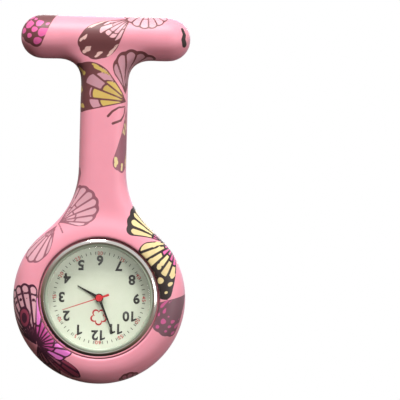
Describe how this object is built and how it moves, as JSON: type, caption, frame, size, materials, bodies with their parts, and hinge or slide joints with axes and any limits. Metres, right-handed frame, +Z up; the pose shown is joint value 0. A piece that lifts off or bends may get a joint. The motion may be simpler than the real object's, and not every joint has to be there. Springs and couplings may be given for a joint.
{
  "type": "fob watch",
  "caption": "Quartz fob watch held in a one-piece silicone holder with a rounded bar and brooch pin, printed with butterflies, dial hung upside down.",
  "frame": {"origin": "centre of the flat outer face of the case back", "axes": "+Z up along the neck from the dial centre to the bar, +Y out of the case back towards the wearer, +X to the right of someone who looks at the dial"},
  "size_m": [0.04, 0.0155, 0.0854],
  "materials": {
    "silicone": "matte printed silicone",
    "brooch_metal": "satin",
    "pin_steel": "polished",
    "rivet_dark": "gloss",
    "case_metal": "polished",
    "crystal_glass": "clear",
    "gasket_pale": "matte",
    "case_back_dark": "dark polished",
    "seal_black": "matte",
    "dial_ivory": "satin",
    "hand_black": "gloss",
    "hand_red": "gloss",
    "ring_plastic": "matte",
    "brass_plate": "satin",
    "wheel_brass": "polished",
    "plated_steel": "satin",
    "magnet_dark": "satin",
    "soft_iron": "satin",
    "copper_wire": "enamelled",
    "board_green": "gloss",
    "can_metal": "polished",
    "chip_black": "matte",
    "cell_steel": "polished"
  },
  "bodies": {
    "holder": {"silicone_holder": "silicone", "brooch_base": "brooch_metal", "hinge_rivet": "brooch_metal", "base_rivet_left": "rivet_dark", "base_rivet_right": "rivet_dark"},
    "pin": {"brooch_pin": "pin_steel"},
    "roller": {"safety_roller": "pin_steel"},
    "head": {"case_body": "case_metal", "crystal": "crystal_glass", "crystal_gasket": "gasket_pale", "case_back": "case_back_dark", "case_back_gasket": "seal_black", "dial": "dial_ivory", "movement_ring": "ring_plastic", "mainplate": "brass_plate", "train_bridge": "plated_steel", "bridge_screw_1": "plated_steel", "bridge_screw_2": "plated_steel", "bridge_screw_3": "plated_steel", "coil_screw_left": "plated_steel", "coil_screw_right": "plated_steel", "stator": "soft_iron", "coil_core": "soft_iron", "coil_winding": "copper_wire", "circuit_board": "board_green", "quartz_can": "can_metal", "ic_chip": "chip_black", "battery": "cell_steel", "battery_clamp": "plated_steel", "crown_tube": "wheel_brass"},
    "minute_arbor": {"centre_wheel": "wheel_brass", "minute_hand": "hand_black"},
    "hour_arbor": {"hour_wheel": "wheel_brass", "hour_hand": "hand_black"},
    "second_arbor": {"fourth_wheel": "wheel_brass", "second_hand": "hand_red"},
    "third_arbor": {"third_wheel": "wheel_brass"},
    "minute_wheel_arbor": {"minute_wheel": "wheel_brass"},
    "intermediate_arbor": {"intermediate_wheel": "wheel_brass"},
    "rotor_arbor": {"rotor": "magnet_dark"},
    "crown_slide": {"crown_gasket": "seal_black"},
    "crown_stem_set": {"crown": "case_metal", "crown_stem": "plated_steel", "clutch_wheel": "wheel_brass"},
    "lever": {"setting_lever": "plated_steel"}
  },
  "joints": [
    {"name": "pin_swing", "type": "hinge", "parent": "holder", "child": "pin", "pos_m": [-0.0126, 0.00495, 0.0603], "axis": [0, 0, 1], "range_deg": [0, 90]},
    {"name": "roller_turn", "type": "hinge", "parent": "holder", "child": "roller", "pos_m": [0.0103, 0.00495, 0.0603], "axis": [1, 0, 0], "range_deg": [0, 100]},
    {"name": "head_pop_out", "type": "slide", "parent": "holder", "child": "head", "axis": [0, -1, 0], "range_m": [0, 0.015]},
    {"name": "minute_turn", "type": "hinge", "parent": "head", "child": "minute_arbor", "pos_m": [0, -0.003, 0], "axis": [0, 1, 0], "continuous": true},
    {"name": "hour_turn", "type": "hinge", "parent": "head", "child": "hour_arbor", "pos_m": [0, -0.004, 0], "axis": [0, 1, 0], "continuous": true},
    {"name": "second_turn", "type": "hinge", "parent": "head", "child": "second_arbor", "pos_m": [0, -0.002, 0], "axis": [0, 1, 0], "continuous": true},
    {"name": "third_wheel_turn", "type": "hinge", "parent": "head", "child": "third_arbor", "pos_m": [-0.00136, -0.0025, 0.00236], "axis": [0, 1, 0], "continuous": true},
    {"name": "minute_wheel_turn", "type": "hinge", "parent": "head", "child": "minute_wheel_arbor", "pos_m": [0.00138, -0.004, 0.00197], "axis": [0, 1, 0], "continuous": true},
    {"name": "intermediate_turn", "type": "hinge", "parent": "head", "child": "intermediate_arbor", "pos_m": [0.00242, -0.0025, -0.0014], "axis": [0, 1, 0], "continuous": true},
    {"name": "rotor_turn", "type": "hinge", "parent": "head", "child": "rotor_arbor", "pos_m": [0.00367, -0.003, -0.00212], "axis": [0, 1, 0], "continuous": true},
    {"name": "crown_pull", "type": "slide", "parent": "head", "child": "crown_slide", "axis": [-1, 0, 0], "range_m": [0, 0.0008]},
    {"name": "crown_turn", "type": "hinge", "parent": "crown_slide", "child": "crown_stem_set", "pos_m": [-0.013, -0.0033, 0], "axis": [1, 0, 0], "continuous": true},
    {"name": "lever_swing", "type": "hinge", "parent": "head", "child": "lever", "pos_m": [-0.0081, -0.0026, 0.002], "axis": [0, 1, 0], "range_deg": [0, 28.12]}
  ],
  "couplings": [
    {"joint": "hour_turn", "follows": "minute_turn", "ratio": 0.083333},
    {"joint": "second_turn", "follows": "minute_turn", "ratio": 60},
    {"joint": "third_wheel_turn", "follows": "minute_turn", "ratio": -8},
    {"joint": "minute_wheel_turn", "follows": "minute_turn", "ratio": -0.33333},
    {"joint": "intermediate_turn", "follows": "minute_turn", "ratio": -360},
    {"joint": "rotor_turn", "follows": "minute_turn", "ratio": 1800},
    {"joint": "lever_swing", "follows": "crown_pull", "rad_per_m": 612.45}
  ]
}
